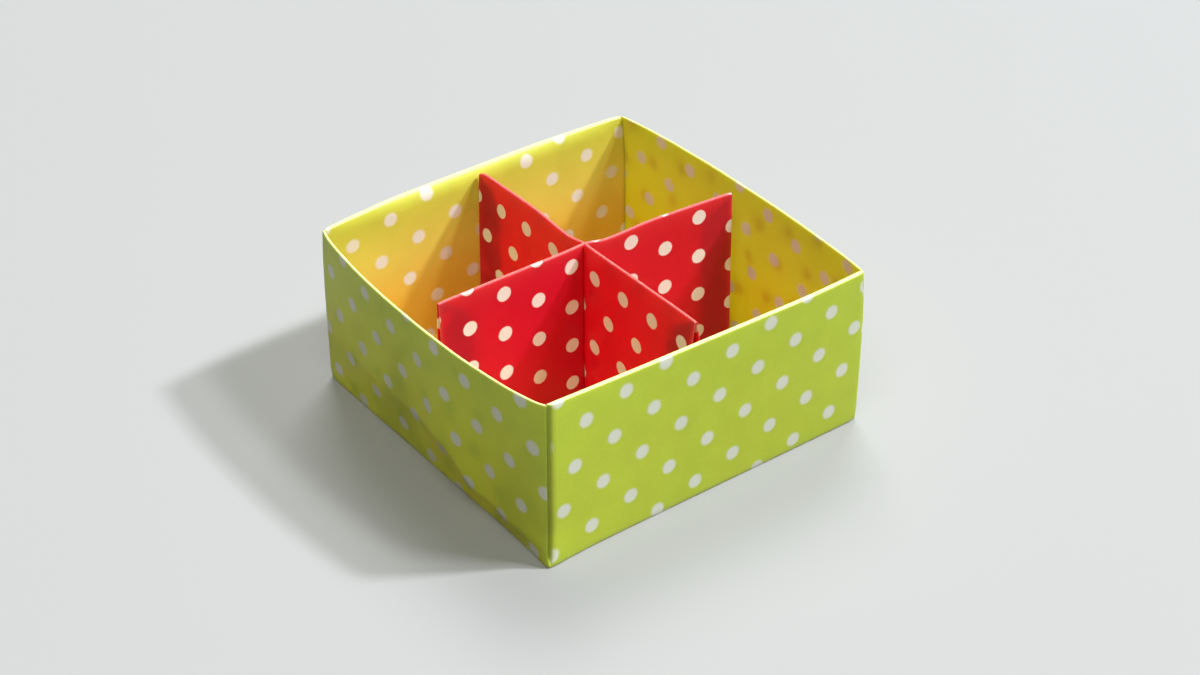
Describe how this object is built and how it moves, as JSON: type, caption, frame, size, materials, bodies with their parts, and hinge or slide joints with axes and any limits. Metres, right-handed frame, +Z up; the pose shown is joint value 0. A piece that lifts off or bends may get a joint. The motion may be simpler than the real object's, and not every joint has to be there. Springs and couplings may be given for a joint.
{
  "type": "origami box",
  "caption": "Square open box folded from dotted paper, with a folded paper cross standing inside it as a divider.",
  "frame": {"origin": "on the underside of the box, midway between its four straight bottom folds", "axes": "+Z up out of the open top; +X along the straight front wall towards its right end; +Y from that wall towards the opposite thick wall"},
  "size_m": [0.0561, 0.0539, 0.0251],
  "materials": {
    "box_paper": "matte lime green paper printed with off-white polka dots",
    "divider_paper": "matte red paper printed with cream polka dots"
  },
  "bodies": {
    "root": {"box": "box_paper", "divider": "divider_paper"}
  },
  "joints": []
}
